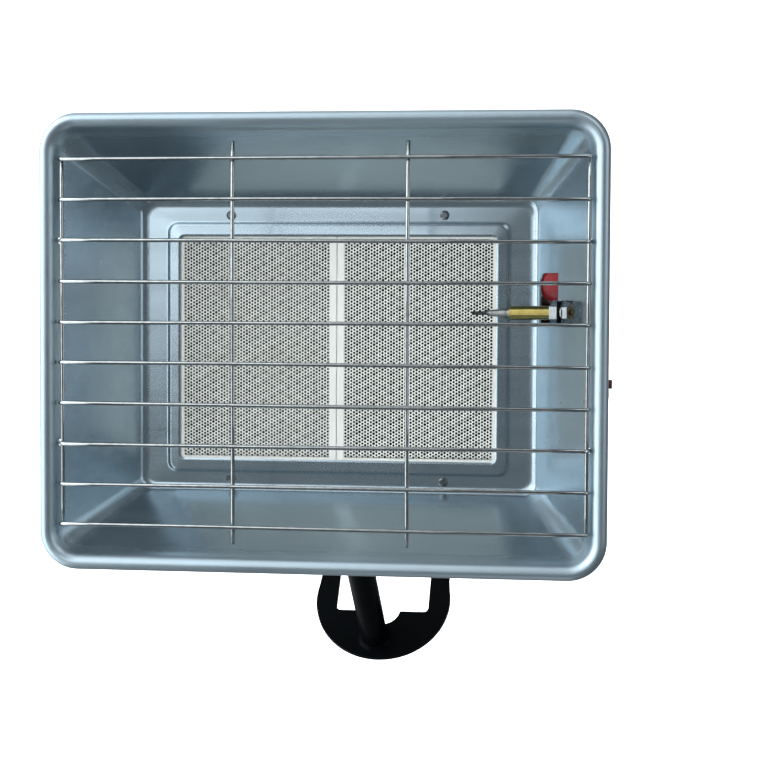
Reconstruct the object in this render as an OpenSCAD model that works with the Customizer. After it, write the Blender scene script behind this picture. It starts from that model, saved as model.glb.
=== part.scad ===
// Portable propane heater on a forked bottle foot
// millimetres, Z up, the dish looks towards -Y and upwards
// origin: axis of the post at the underside of the fork plate

/* [Reflector] */
// overall width of the rolled rim
dish_w = 310; // [306:1:316]
// overall height of the rolled rim
dish_h = 249.5; // [246:0.5:256]
// outer corner radius of the rim
rim_r = 21; // [18:0.5:26]
// depth from the rim plane to the dish floor
dish_d = 55; // [53:0.5:58]
// thickness of the dish sheet
sheet_t = 0.8; // [0.7:0.1:1]
// elevation of the dish above level
tilt = 50; // [45:1:55]

/* [Burner] */
// width of the burner window
win_w = 180; // [178:0.5:181]
// height of the burner window
win_h = 126; // [124:0.5:127]
// thickness of the ceramic plaques
plaque_t = 13; // [12:0.5:14]
// depth of the burner box
box_d = 38; // [36:1:40]

/* [Guard] */
// diameter of the guard wires
wire_d = 2.2; // [2:0.1:2.4]
// pitch of the horizontal wires
wire_pitch = 22.15; // [21.9:0.05:22.3]
// distance of the wires in front of the rim plane
wire_w = 2; // [1.5:0.5:2.5]

/* [Foot] */
// outer diameter of the post tube
post_d = 17; // [16:0.2:18]
// height of the tilt pivot above the fork
pivot_z = 148; // [146:0.5:150]
// thickness of the fork plate
fork_t = 3; // [2.5:0.1:3.5]
// overall width of the fork
fork_w = 87.5; // [86:0.5:90]
// gap between the arms of the fork
gap_w = 60; // [58:0.5:62]

/* [Hidden] */
$fn = 48;
e = 0.01;
post_x = 2;            // post axis, right of the dish centre
// dish centre in the row frame, dish centre lies post_x to the left of the post
piv_v = -101; piv_w = 94;   // pivot in dish axes: up the dish, behind the rim plane
cx0 = -post_x;
cy0 = -(piv_v*sin(tilt) + piv_w*cos(tilt));
cz0 = fork_t + pivot_z - 3 - (piv_v*cos(tilt) - piv_w*sin(tilt));
pz = fork_t + pivot_z - 3;  // pivot height in the row frame
hw0 = dish_w/2; hh0 = dish_h/2;
wx = 1; wv = -4;       // burner window centre in dish axes
fx = 1.1; fv = -2.8;   // dish floor centre

// dish axes: X right, Y up the dish, Z towards the viewer, rim plane at Z 0
module head() { translate([cx0, cy0, cz0]) rotate([90 - tilt, 0, 0]) children(); }
// w is the depth behind the rim plane
module at(x, v, w) { translate([x, v, -w]) children(); }

module rrect(w, h, r) {
  union() {
    square([w - 2*r, h], center = true);
    square([w, h - 2*r], center = true);
    for (x = [-1, 1], y = [-1, 1]) translate([x*(w/2 - r), y*(h/2 - r)]) circle(r);
  }
}
module rbox(w, h, r, t) { linear_extrude(t) rrect(w, h, r); }
module hexp(af, t) { cylinder(d = af/cos(30), h = t, $fn = 6); }
module rod(a, b, d) {
  v = b - a; L = norm(v);
  translate(a) rotate([0, acos(v[2]/L), atan2(v[1], v[0])]) cylinder(d = d, h = L);
}
module wire(p, d) {
  for (i = [0:len(p) - 2]) rod(p[i], p[i + 1], d);
  for (i = [1:len(p) - 2]) translate(p[i]) sphere(d = d*1.03, $fn = 24);
}

// ---- dish shell: rings lofted along a closed profile
cn = 8;                // segments in each corner
function ring(s) = let(a = s[0], b = s[1], r = s[2], w = s[3], x0 = s[4], y0 = s[5])
  [for (q = [0:3], i = [0:cn]) let(t = 90*q + 90*i/cn, sx = (q == 0 || q == 3) ? 1 : -1, sy = q < 2 ? 1 : -1)
     [x0 + sx*(a - r) + r*cos(t), y0 + sy*(b - r) + r*sin(t), -w]];
fw = dish_d;
bh = 1.3;              // height of the raised burner border
front = [ // half width, half height, corner radius, depth, centre x, centre v
  [hw0 - 0.9, hh0 - 0.9, rim_r - 0.9, 5.5, 0, 0],
  [hw0 - 0.15, hh0 - 0.15, rim_r - 0.15, 3, 0, 0],
  [hw0, hh0, rim_r, 0.8, 0, 0],
  [hw0 - 0.6, hh0 - 0.6, rim_r - 0.6, -1.1, 0, 0],
  [hw0 - 2, hh0 - 2, rim_r - 2, -2.5, 0, 0],
  [hw0 - 4.2, hh0 - 4.2, rim_r - 4.2, -3, 0, 0],
  [hw0 - 6.2, hh0 - 6.2, rim_r - 6.1, -2.7, 0, 0],
  [hw0 - 8.2, hh0 - 8.2, rim_r - 7.8, -1.6, 0, 0],
  [hw0 - 9.6, hh0 - 9.6, rim_r - 8.6, 0.6, 0, 0],
  [hw0 - 10.9, hh0 - 10.9, rim_r - 8.9, 6.29, 0.03, -0.045],
  [hw0 - 40.6, hh0 - 41, 8, fw - 3.6, fx, fv],
  [hw0 - 42.3, hh0 - 42.8, 7.2, fw - 1.4, fx, fv],
  [hw0 - 44.4, hh0 - 44.9, 6.5, fw - 0.3, fx, fv],
  [hw0 - 46.5, hh0 - 46.5, 6.5, fw, fx, fv],
  [win_w/2 + 7.6, win_h/2 + 8.2, 6, fw, wx, wv],
  [win_w/2 + 6.6, win_h/2 + 7.2, 5.4, fw - bh*0.5, wx, wv],
  [win_w/2 + 5.6, win_h/2 + 6.2, 4.8, fw - bh, wx, wv],
  [win_w/2 + 1, win_h/2 + 1, 3.6, fw - bh, wx, wv],
  [win_w/2, win_h/2, 2.6, fw - bh + 0.15, wx, wv]];
function nrm(i) = let(a = front[max(i - 1, 0)], b = front[min(i + 1, len(front) - 1)], d = [b[0] - a[0], b[3] - a[3]], n = norm(d))
  [-d[1], d[0]]/n;
// the normal that points behind the sheet
function off(i) = let(n = nrm(i), s = sheet_t, f = front[i])
  [f[0] - n[0]*s, f[1] - n[0]*s, max(f[2] - n[0]*s*((i < 8) ? 1 : 0.4), 1), f[3] - n[1]*s, f[4], f[5]];
loop = concat(front, [for (i = [len(front) - 1:-1:0]) off(i)]);
nr = 4*(cn + 1);
module shell() {
  m = len(loop);
  polyhedron(points = [for (s = loop) each ring(s)],
    faces = [for (j = [0:m - 1], i = [0:nr - 1]) let(a = j*nr + i, b = j*nr + (i + 1)%nr, c = ((j + 1)%m)*nr + (i + 1)%nr, d = ((j + 1)%m)*nr + i) each [[a, b, c], [a, c, d]]],
    convexity = 10);
}
// half width of the inner face of the side wall at depth w
k0 = (hw0 - 11.45 - (hw0 - 40.6 + fx))/(fw - 3.6 - 7.2);
function wallx(w) = hw0 - 11.45 - k0*(w - 7.2);
wa = atan(k0);         // lean of the side wall
// side opening in the right wall: window of the switch, slot of the probe
sw = [34, 52]; sv = [11.5, 39];
tw = 20.9; tv = [11, 24];
tc_v = 17.5;
module slab(p, v0, v1) { translate([0, v1, 0]) rotate([90, 0, 0]) linear_extrude(v1 - v0) polygon([for (q = p) [q[0], -q[1]]]); }
module side_window() {
  slab([[wallx(sw[0]) - 6, sw[0]], [wallx(sw[0]) + 12, sw[0]], [wallx(sw[1]) + 12, sw[1]], [wallx(sw[1]) - 6, sw[1]]], sv[0], sv[1]);
  slab([[wallx(tw) - 6, tw], [wallx(tw) + 12, tw], [wallx(sw[1]) + 8, sw[1] - 2], [wallx(sw[1]) - 6, sw[1] - 2]], tv[0], tv[1]);
}
hz = 2.5*wire_pitch;   // height of the hooked wires
hole_w = 5.1;
sc = [[-60.7, 75], [60.7, 75], [-60.7, -74.6], [60.7, -74.6]];
ear_x = 15;
module reflector() color("#9fb0b8") head() difference() {
  shell();
  side_window();
  for (s = [-1, 1], z = [-1, 1]) at(s*146, z*hz, hole_w) rotate([0, 90, 0]) cylinder(d = wire_d + 1.4, h = 14, center = true);
  for (p = sc) at(wx + p[0], wv + p[1], fw) cylinder(d = 3.4, h = 6, center = true);
}

// ---- guard
yo = 106.8;            // half height of the inner uprights
uo = 100.8;            // half height of the outer uprights
vx = [-142, -47, 48, 144];
module wire_guard() color("#d8dcdf") head() union() {
  for (i = [0:9]) let(y = (4.5 - i)*wire_pitch, long = (i == 2 || i == 7)) translate([0, y, 0]) {
    rod([-142, 0, wire_w], [143.5, 0, wire_w], wire_d);
    if (long) {
      wire([[-141.5, 0, wire_w], [-143, 0, -hole_w + 0.75], [-146.8, 0, -hole_w - 0.35], [-151.5, 0, -hole_w - 0.7]], wire_d);
      wire([[142, 0, wire_w], [143.05, 0, -hole_w + 0.75], [146.8, 0, -hole_w - 0.35], [151.5, 0, -hole_w - 0.7]], wire_d);
    } else {
      rod([-141.5, 0, wire_w], [-143.5, 0, -2.4], wire_d);
      rod([143, 0, wire_w], [144.15, 0, -2.1], wire_d);
    }
  }
  for (x = vx) let(l = abs(x) > 100 ? uo : yo) rod([x, -l, wire_w - wire_d*0.86], [x, l, wire_w - wire_d*0.86], wire_d);
}

// ---- burner
bp = fw - bh + sheet_t + 0.2;        // front of the plaques
gap = 0.15;
pw = 92; ph = 132;
module plaque(s) {
  at(wx + s*(pw/2 + gap), wv, bp) difference() {
    translate([0, 0, -plaque_t]) rbox(pw, ph, 1.2, plaque_t);
    for (i = [0:6], j = [0:8]) translate([(i - 3)*11.6, (j - 4 + (i%2)*0.5 - 0.25)*13.6, -0.8]) cylinder(d1 = 4.2, d2 = 6.4, h = 1, $fn = 6);
  }
}
module plaque_left() color("#e4e6dc") head() plaque(-1);
module plaque_right() color("#e4e6dc") head() plaque(1);
bx_w = 196; bx_h = 146;              // burner box, outside
bt = 0.8;
gb = bp + plaque_t;                  // back of the plaques
module plaque_gasket() color("#d9d5c8") head() at(wx, wv, gb) difference() {
  translate([0, 0, -2]) rbox(bx_w - 2*bt - 0.4, bx_h - 2*bt - 0.4, 4.6, gb + 2 - fl - 0.2);
  translate([0, 0, 0]) cube([2*pw + 2*gap + 0.4, ph + 0.4, 60], center = true);
  translate([0, 0, -5]) cube([2*pw - 8, ph - 8, 20], center = true);
}
// front face of the box flange, just behind the dish floor
fl = fw + sheet_t;
module burner_box() color("#aab4b8") head() at(wx, wv, 0) difference() {
  union() {
    translate([0, 0, -fl - bt]) rbox(bx_w + 8, bx_h + 14, 6, bt);
    translate([0, 0, -fl - box_d]) rbox(bx_w, bx_h, 5, box_d - e);
  }
  translate([0, 0, -fl - box_d + bt]) rbox(bx_w - 2*bt, bx_h - 2*bt, 4.2, box_d + 10);
  for (p = sc) translate([p[0], p[1], -fl]) cylinder(d = 2.6, h = 8, center = true);
  translate([vn_x - wx, vn_v - wv, -fl - box_d]) cylinder(d = 28, h = 10, center = true);
  for (x = [-1, 1], z = [-1, 1]) translate([vb_x + x*11.5 - wx, vb_v + z*10 - wv, -fl - box_d]) cylinder(d = 3.2, h = 10, center = true);
}
bk = fl + box_d;                     // back of the box
vn_x = -45; vn_v = 0;                // mixing tube
vb_x = 60; vb_v = 6;                 // valve
module baffle_plate() color("#8f9a9e") head() at(wx, wv, gb + 7) difference() {
  union() {
    rbox(150, 100, 6, 0.8);
    for (x = [-1, 1], y = [-1, 1]) translate([x*68, y*42, -(bk - bt - gb - 7)]) cylinder(d = 5, h = bk - bt - gb - 7 + e);
  }
  for (i = [-5:5], j = [-3:3]) translate([i*12, j*12, 0]) cylinder(d = 4, h = 5, center = true, $fn = 24);
}
module box_screws() color("#c9ced1") head() for (p = sc) at(wx + p[0], wv + p[1], fw) difference() {
  union() {
    cylinder(d = 5.2, h = 1.1);
    translate([0, 0, 1.1 - e]) cylinder(d1 = 5.2, d2 = 3.2, h = 0.9);
    translate([0, 0, -8]) cylinder(d = 2.5, h = 8.1);
  }
  for (a = [0, 90]) rotate([0, 0, a + 20]) translate([0, 0, 2.2]) cube([2.6, 0.6, 2], center = true);
}
module venturi() color("#b9b9b4") head() at(vn_x, vn_v, bk + 46) difference() {
  union() {
    rotate_extrude() polygon([[0, 0], [15, 0], [15, 3], [12.5, 5], [9, 16], [8.6, 20], [12, 36], [13.7, 40], [13.7, 48], [0, 48]]);
    translate([0, 0, 43.6]) difference() { cylinder(d = 38, h = 2.4); }
  }
  rotate_extrude() polygon([[0, -1], [12.6, -1], [12.6, 1.5], [7.2, 15], [7, 20], [10.4, 38], [11.6, 42], [11.6, 49], [0, 49]]);
  for (a = [0, 90, 180, 270]) rotate([0, 0, a + 45]) translate([10, 0, 7]) cube([8, 8, 5], center = true);
}
sp_w = bk + 46 + 10;                 // axis of the supply pipe
module injector_holder() color("#c7a24a") head() at(vn_x, vn_v, bk + 46) difference() {
  union() {
    translate([0, 0, -20]) translate([-9, -9, 0]) cube([18, 18, 18]);
    translate([0, 0, -2 - e]) cylinder(d = 29.8, h = 2 + e);
    translate([8, 0, -10]) rotate([0, 90, 0]) cylinder(d = 11, h = 9);
  }
  translate([0, 0, -12]) cylinder(d = 6.04, h = 20);
  translate([0, 0, -10]) rotate([0, 90, 0]) cylinder(d = 4, h = 40);
}
module injector() color("#d2ad55") head() at(vn_x, vn_v, bk + 46) difference() {
  union() { translate([0, 0, -10]) cylinder(d = 6, h = 10); hexp(8, 4); translate([0, 0, 4 - e]) cylinder(d1 = 6.6, d2 = 3.4, h = 5); }
  translate([0, 0, -11]) cylinder(d = 3, h = 17);
  cylinder(d = 0.8, h = 30);
}
px0 = vn_x + 17; px1 = vb_x - 15 - 8;
module supply_pipe() color("#c5714f") head() at(px0, vn_v, sp_w) rotate([0, 90, 0]) difference() {
  cylinder(d = 8, h = px1 - px0);
  translate([0, 0, -1]) cylinder(d = 6, h = px1 - px0 + 2);
}
module flare_nuts() color("#c7a24a") head() {
  at(px0 + e, vn_v, sp_w) rotate([0, 90, 0]) difference() { union() { hexp(14, 8); translate([0, 0, 7.9]) cylinder(d = 12, h = 4); } translate([0, 0, -1]) cylinder(d = 8.1, h = 20); }
  at(px1 - 12, vn_v, sp_w) rotate([0, 90, 0]) difference() { union() { translate([0, 0, 4]) hexp(14, 8 - e); cylinder(d = 12, h = 4.1); } translate([0, 0, -1]) cylinder(d = 8.1, h = 20); }
}
// valve: block on the back, outlet to the left, inlet down the dish, knob and button to the rear
vw0 = sp_w - 13; vw1 = sp_w + 13;
module valve_body() color("#b98f3e") head() difference() {
  union() {
    at(vb_x, vb_v, vw1) translate([-15, -26, 0]) rbox2(30, 52, 4, vw1 - vw0);
    at(vb_x - 23, vn_v, sp_w) rotate([0, 90, 0]) cylinder(d = 11, h = 9);
    at(vb_x + 14.9, vb_v + 10, sp_w) rotate([0, 90, 0]) cylinder(d = 18, h = 8);
    at(vb_x, vb_v - 25.9, sp_w) rotate([90, 0, 0]) cylinder(d = 17, h = 5);
    at(vb_x, vb_v + 10, vw1 + 4) cylinder(d = 17, h = 4.1);
    at(vb_x, vb_v - 13, vw1 + 5) cylinder(d = 13, h = 5.1);
  }
  at(vb_x - 24, vn_v, sp_w) rotate([0, 90, 0]) cylinder(d = 4, h = 24);
  at(vb_x, vb_v + 10, vw1 + 5) cylinder(d = kn_d + 0.1, h = 17);
  at(vb_x, vb_v - 13, vw1 + 6) cylinder(d = bt_d + 0.1, h = 22);
  at(vb_x, vb_v - 32, sp_w) rotate([-90, 0, 0]) cylinder(d = 10.04, h = 10);
  at(vb_x + 17, vb_v + 10, sp_w) rotate([0, 90, 0]) cylinder(d = 12.04, h = 8);
  for (x = [-1, 1], z = [-1, 1]) at(vb_x + x*10, vb_v - 1 + z*20, vw0) cylinder(d = 2.6, h = 12, center = true);
}
module rbox2(w, h, r, t) { translate([w/2, h/2, 0]) rbox(w, h, r, t); }
kn_d = 6; bt_d = 5;
module valve_bracket() color("#8d979b") head() difference() {
  union() {
    at(vb_x, vb_v, bk + 1.5) translate([0, 0, 0]) rbox(44, 46, 3, 1.5 - e);
    at(vb_x, vb_v, vw0) translate([0, 0, 0]) rbox(34, 56, 3, 1.5);
    for (s = [-1, 1]) at(vb_x + s*16.2, vb_v, vw0) translate([0, 0, (vw0 - bk)/2]) cube([1.6, 40, vw0 - bk - 0.4], center = true);
  }
  for (x = [-1, 1], z = [-1, 1]) {
    at(vb_x + x*11.5, vb_v + z*10, bk) cylinder(d = 3.2, h = 8, center = true);
    at(vb_x + x*11.5, vb_v + z*10, vw0) cylinder(d = 6.6, h = 8, center = true);
    at(vb_x + x*10, vb_v - 1 + z*20, vw0) cylinder(d = 3.2, h = 8, center = true);
  }
}
module bracket_screws() color("#c9ced1") head() {
  for (x = [-1, 1], z = [-1, 1]) at(vb_x + x*11.5, vb_v + z*10, bk + 1.5 + 1.8 + e) difference() {
    union() { cylinder(d = 6, h = 1.8); cylinder(d = 3, h = 6.5); }
    cube([4, 0.7, 1.2], center = true);
  }
  for (x = [-1, 1], z = [-1, 1]) at(vb_x + x*10, vb_v - 1 + z*20, vw0 - 1.5) difference() {
    union() { cylinder(d = 5, h = 1.8); translate([0, 0, -6.8]) cylinder(d = 2.5, h = 7); }
    translate([0, 0, 1.8]) cube([4, 0.7, 1.2], center = true);
  }
}
module gas_knob() color("#1c1d1f") head() at(vb_x, vb_v + 10, vw1) difference() {
  union() {
    translate([0, 0, -9]) cylinder(d = kn_d, h = 20);
    translate([0, 0, -26]) cylinder(d1 = 28, d2 = 32, h = 15);
    translate([0, 0, -11 - e]) cylinder(d = 32, h = 4.5);
    translate([0, 0, -30]) translate([-3.5, -13, 0]) cube([7, 26, 5]);
  }
  for (a = [0:15:345]) rotate([0, 0, a]) translate([16.4, 0, -20]) cylinder(d = 2.2, h = 12.5, center = true, $fn = 16);
}
module safety_button() color("#b3201c") head() at(vb_x, vb_v - 13, vw1) union() {
  translate([0, 0, -14]) cylinder(d = bt_d, h = 24);
  translate([0, 0, -18]) cylinder(d = 11.5, h = 6);
  translate([0, 0, -19]) cylinder(d1 = 9.5, d2 = 11.5, h = 1.01);
}
module inlet_nipple() color("#c7a24a") head() at(vb_x, vb_v - 31, sp_w) rotate([90, 0, 0]) difference() {
  union() {
    translate([0, 0, -9]) cylinder(d = 10, h = 10);
    hexp(17, 6);
    translate([0, 0, 5.9]) cylinder(d = 11.4, h = 1.5);
    translate([0, 0, 7.3]) cylinder(d = 13.2, h = 11);
    translate([0, 0, 18.2]) cylinder(d1 = 13.2, d2 = 11.4, h = 1);
  }
  translate([0, 0, -10]) cylinder(d = 5, h = 32);
  translate([0, 0, 16]) cylinder(d1 = 5, d2 = 10.4, h = 3.3);
}
mu_x = vb_x + 17;
module magnet_unit() color("#b7bcc0") head() at(mu_x, vb_v + 10, sp_w) rotate([0, 90, 0]) union() {
  cylinder(d = 12, h = 7);
  translate([0, 0, 6]) hexp(15, 7);
  translate([0, 0, 12.9]) cylinder(d = 11, h = 14);
  translate([0, 0, 26.8]) hexp(8, 6);
}
// ---- thermocouple: reaches over the right plaque, tip deepest
ta = 20;               // lean of the probe
tn = [129.2, tc_v, 24]; // middle of the clamped plate
module tc() { at(tn[0], tn[1], tn[2]) rotate([0, 0, 0.9]) rotate([0, -90 - ta, 0]) children(); } // +Z towards the tip
module thermocouple_tip() color("#8b8f90") head() tc() union() {
  translate([0, 0, 8]) cylinder(d = 4, h = 24);
  translate([0, 0, 30.2]) cylinder(d = 5.4, h = 1.4);
  translate([0, 0, 31.5]) cylinder(d = 4.6, h = 1.2);
  translate([0, 0, 32.6]) cylinder(d = 5.2, h = 1.4);
  translate([0, 0, 33.9]) cylinder(d1 = 4.8, d2 = 3.4, h = 10.3);
  translate([0, 0, 44.1]) cylinder(d = 2.1, h = 9);
  translate([0, 0, 53]) sphere(d = 2.3, $fn = 24);
}
module thermocouple_sleeve() color("#b8953f") head() tc() difference() {
  union() { translate([0, 0, 5.6]) cylinder(d = 7.6, h = 24.4); translate([0, 0, -4.8]) cylinder(d = 6.8, h = 10.5); }
  translate([0, 0, 7.9]) cylinder(d = 4.04, h = 40);
  translate([0, 0, -10]) cylinder(d = 3.4, h = 20);
}
module thermocouple_nuts() color("#c9ced1") head() tc() {
  difference() { translate([0, 0, 0.75]) rotate([0, 0, 30]) hexp(11.4, 4.7); translate([0, 0, -5]) cylinder(d = 6.84, h = 20); }
  difference() { union() { translate([0, 0, -4.6]) rotate([0, 0, 30]) hexp(10.4, 3); translate([0, 0, -1.7]) cylinder(d = 12.2, h = 0.95); } translate([0, 0, -10]) cylinder(d = 6.84, h = 20); }
}
// plate between the nuts, running out through the slot and along the switch
function px(t) = tn[0] + sin(ta)*t;
function pw_(t) = tn[2] + cos(ta)*t;
function pl(t, o) = [px(t) + o*cos(ta), pw_(t) - o*sin(ta)];
module thermocouple_bracket() color("#1b1c1e") head() difference() {
  union() {
    tcb(0, 0) translate([0, 0, -0.6]) linear_extrude(1.2) difference() {
      union() {
        translate([-6.8, 11.3]) square([50, 12.4]);
        translate([11, -26]) square([33, 67]);
        translate([6.4, -38]) square([37.6, 12.1]);
      }
      for (v = [-16, 32]) translate([28, v]) circle(d = 3.2);
    }
    slab([[wo(28) + 0.1, 28], [wo(42) + 0.1, 42], [wo(42) + 1.5, 42], [wo(28) + 1.5, 28]], -38, -26.2);
  }
  tc() translate([0, 0, -10]) cylinder(d = 6.84, h = 30);
}
// outer face of the side wall
function wo(w) = wallx(w) + sheet_t/cos(wa) + 0.05;
// on the plate, +Z out of its outer side
module tcb(t, v) { at(px(t), v, pw_(t)) rotate([0, 90 - ta, 0]) children(); }
module thermocouple_lead() color("#c07a4a") head() wire([
  [tn[0] + 4.04, tc_v, -tn[2] + 1.47], [tn[0] + 5, tc_v, -tn[2] + 1.82], [tn[0] + 6.5, tc_v, -tn[2] - 0.3], [tn[0] + 9.2, tc_v, -tn[2] - 5], [149, 17, -62], [150, 17, -100], [144, 16.5, -150],
  [136, 16, -sp_w + 2], [mu_x + 33, vb_v + 10, -sp_w]], 1.8);
hs = [[wo(34.6) + 0.5, 34.6], [wo(54.6) + 0.5, 54.6], [wo(54.6) + 0.5, 70], pl(48.6, -0.9), pl(11.3, -0.9)];
module tip_switch_housing() color("#c8231f") head() difference() {
  union() {
    difference() {
      slab(hs, -26, 41);
      slab([[wo(38.5) + 2.6, 38.5], [wo(54.6) + 2.4, 56], [wo(54.6) + 2.4, 71], pl(50, -2.9), pl(15.6, -2.9)], -24.2, 39.2);
    }
    at(pp[0], pp[1], pp[2]) rotate([0, 90, 0]) cylinder(d = 3, h = 17.6, center = true);
    for (v = [-16, 32]) tcb(28, v) translate([0, 0, -8]) cylinder(d = 6, h = 7.1);
  }
  for (v = [-16, 32]) tcb(28, v) translate([0, 0, -7]) cylinder(d = 2.9, h = 12);
}
pp = [128.6, 26, 50];  // pivot of the tip-over weight
module tip_switch_lid() color("#c8231f") head() slab([[hs[1][0], 70.05], [hs[1][0], 72], [hs[3][0] + 0.7, 72], [hs[3][0], 70.05]], -26, 41);
module tip_pendulum() color("#b8953f") head() difference() {
  union() {
    at(pp[0], pp[1], pp[2]) rotate([0, 90, 0]) cylinder(d = 6, h = 4, center = true);
    rod([pp[0], pp[1] - cos(tilt)*2.6, -pp[2] - sin(tilt)*2.6], [pp[0], pp[1] - cos(tilt)*12, -pp[2] - sin(tilt)*12], 2);
    translate([pp[0], pp[1] - cos(tilt)*14, -pp[2] - sin(tilt)*14]) sphere(d = 8.6);
  }
  at(pp[0], pp[1], pp[2]) rotate([0, 90, 0]) cylinder(d = 3.1, h = 10, center = true);
}
module switch_screws() color("#c9ced1") head() for (v = [-16, 32]) tcb(28, v) difference() {
  union() { translate([0, 0, 0.65]) cylinder(d = 5.6, h = 1.8); translate([0, 0, -6]) cylinder(d = 2.8, h = 7); }
  translate([0, 0, 2.4]) cube([4, 0.7, 1.2], center = true);
}
gl = [155.7, -22, 47];
module switch_gland() color("#5a2320") head() difference() {
  union() {
    at(px((gl[2] - tn[2])/cos(ta)) + 1.6, gl[1], gl[2]) rotate([0, 90, 0]) cylinder(d = 5, h = gl[0] - px((gl[2] - tn[2])/cos(ta)) - 1.6);
  }
}
module switch_lead() color("#1b1c1e") head() wire([[153, -25.1, -47.4], [153, -29, -50], [151, -30, -80], [142, -22, -120], [128, -10, -150], [120, vb_v - 8, -sp_w], [vb_x + 15.05, vb_v - 8, -sp_w]], 2);

// ---- tilt hinge
eb = wv - bx_h/2;      // underside of the burner box
module tilt_bracket() color("#1b1c1e") head() difference() {
  union() {
    at(post_x, eb - 1.25, fl + 22) cube([36, 2.5, 30], center = true);
    for (s = [-1, 1]) translate([post_x + s*ear_x + 1.5, 0, 0]) rotate([0, -90, 0]) linear_extrude(3) union() {
      polygon([[-(fl + 7.5), eb], [-(fl + 37), eb], [-(piv_w + 10), piv_v + 3], [-(piv_w + 10), piv_v], [-(piv_w - 3), piv_v - 9.5], [-(piv_w - 9), piv_v - 5]]);
      translate([-piv_w, piv_v]) circle(d = 20);
    }
  }
  at(post_x, piv_v, piv_w) rotate([0, 90, 0]) cylinder(d = 8.1, h = 60, center = true);
}
pbx = ear_x + 1.5;     // outer faces of the ears
module onpiv() { translate([0, 0, pz]) rotate([0, 90, 0]) children(); }
module post_head() color("#1b1c1e") difference() {
  union() {
    onpiv() cylinder(d = 19, h = 26, center = true);
    translate([0, 0, pz - 18]) cylinder(d = post_d, h = 16);
    translate([0, 0, pz - 38]) cylinder(d = post_d - 3.2, h = 21);
  }
  onpiv() cylinder(d = 8.1, h = 60, center = true);
}
module pivot_bolt() color("#c9ced1") onpiv() union() {
  translate([0, 0, -pbx - 2]) cylinder(d = 8, h = 2*pbx + 26);
  translate([0, 0, -pbx - 7.4]) hexp(13, 5.5);
}
module pivot_washers() color("#c9ced1") onpiv() for (s = [0, 1]) translate([0, 0, s ? pbx + 0.35 : -pbx - 1.85]) difference() {
  cylinder(d = 17, h = 1.5);
  translate([0, 0, -1]) cylinder(d = 8.4, h = 4);
}
module wing_nut() color("#c9ced1") onpiv() difference() {
  union() {
    translate([0, 0, pbx + 2.25]) cylinder(d1 = 15, d2 = 12, h = 9);
    for (s = [-1, 1]) translate([0, 0, pbx + 6]) rotate([90, 0, 0]) linear_extrude(3, center = true)
      polygon([[s*4.5, -2.5], [s*6.8, -2.5], [s*17, 9], [s*17.5, 14], [s*13.5, 15], [s*8, 8], [s*4.5, 4.5]]);
  }
  cylinder(d = 8.1, h = 60);
}
// ---- post and fork
module post_tube() color("#1b1c1e") translate([0, 0, fork_t]) difference() {
  cylinder(d = post_d, h = pz - 18 - fork_t - 0.02);
  translate([0, 0, -1]) cylinder(d = post_d - 3, h = pz);
}
fo = 2.9;              // middle of the fork, right of the post axis
fr = fork_w/2; fy = 28.7; arm = 80; nt = 12;
module fork2d() difference() {
  union() {
    translate([fo, fy]) circle(r = fr, $fn = 96);
    translate([fo - fr, fy]) polygon([[0, 0], [fork_w, 0], [fork_w - 1.6, 16], [fork_w - 1.6, arm - fy - 3], [fork_w - 4.6, arm - fy], [4.6, arm - fy], [1.6, arm - fy - 3], [1.6, 16]]);
  }
  translate([fo - gap_w/2, 22.6]) square([gap_w, arm]);
  translate([fo - gap_w/2 + 3, 19.6]) square([gap_w - 6, arm]);
  for (s = [-1, 1]) translate([fo + s*(gap_w/2 - 3), 22.6]) circle(3);
  translate([fo, 9.6 + nt]) circle(nt);
  translate([fo - nt, 9.6 + nt]) square([2*nt, 12]);
}
cs_y = 69; cs_z = 16; lug = fo + gap_w/2 + 3;
module fork_plate() color("#1b1c1e") difference() {
  union() {
    linear_extrude(fork_t) fork2d();
    translate([lug, cs_y - 10, fork_t - e]) cube([3, 20, cs_z - fork_t]);
    translate([lug, cs_y, cs_z]) rotate([0, 90, 0]) cylinder(d = 20, h = 3);
  }
  translate([lug - 5, cs_y, cs_z]) rotate([0, 90, 0]) cylinder(d = 8.1, h = 20);
}
module weld_collar() color("#1b1c1e") difference() {
  translate([0, 0, fork_t]) cylinder(d1 = post_d + 4.4, d2 = post_d + 0.2, h = 2.2);
  translate([0, 0, fork_t - 1]) cylinder(d = post_d + 0.02, h = 8);
  translate([-20, 9.6, 0]) cube([40, 20, 20]);
}
module clamp_nut() color("#c9ced1") translate([lug + 3, cs_y, cs_z]) rotate([0, 90, 0]) difference() {
  hexp(13, 6.5);
  translate([0, 0, -1]) cylinder(d = 8.1, h = 10);
}
module clamp_screw() color("#c9ced1") translate([lug, cs_y, cs_z]) rotate([0, 90, 0]) union() {
  translate([0, 0, -12]) cylinder(d = 8, h = 38);
  translate([0, 0, -14.9]) cylinder(d = 4.9, h = 3);
  translate([0, 0, 25.9]) cylinder(d = 14, h = 8);
  translate([0, 0, 30]) rotate([90, 0, 0]) rbox3(30, 10, 3.2);
}
module rbox3(w, h, t) { translate([0, 0, -t/2]) linear_extrude(t) rrect(w, h, 3); }
module clamp_pad() color("#8d979b") translate([lug - 12.4, cs_y, cs_z]) rotate([0, -90, 0]) difference() {
  union() { cylinder(d = 12, h = 4); translate([0, 0, 3.9]) cylinder(d = 15, h = 2.5); }
  translate([0, 0, -1]) cylinder(d = 5, h = 4);
}

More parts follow.
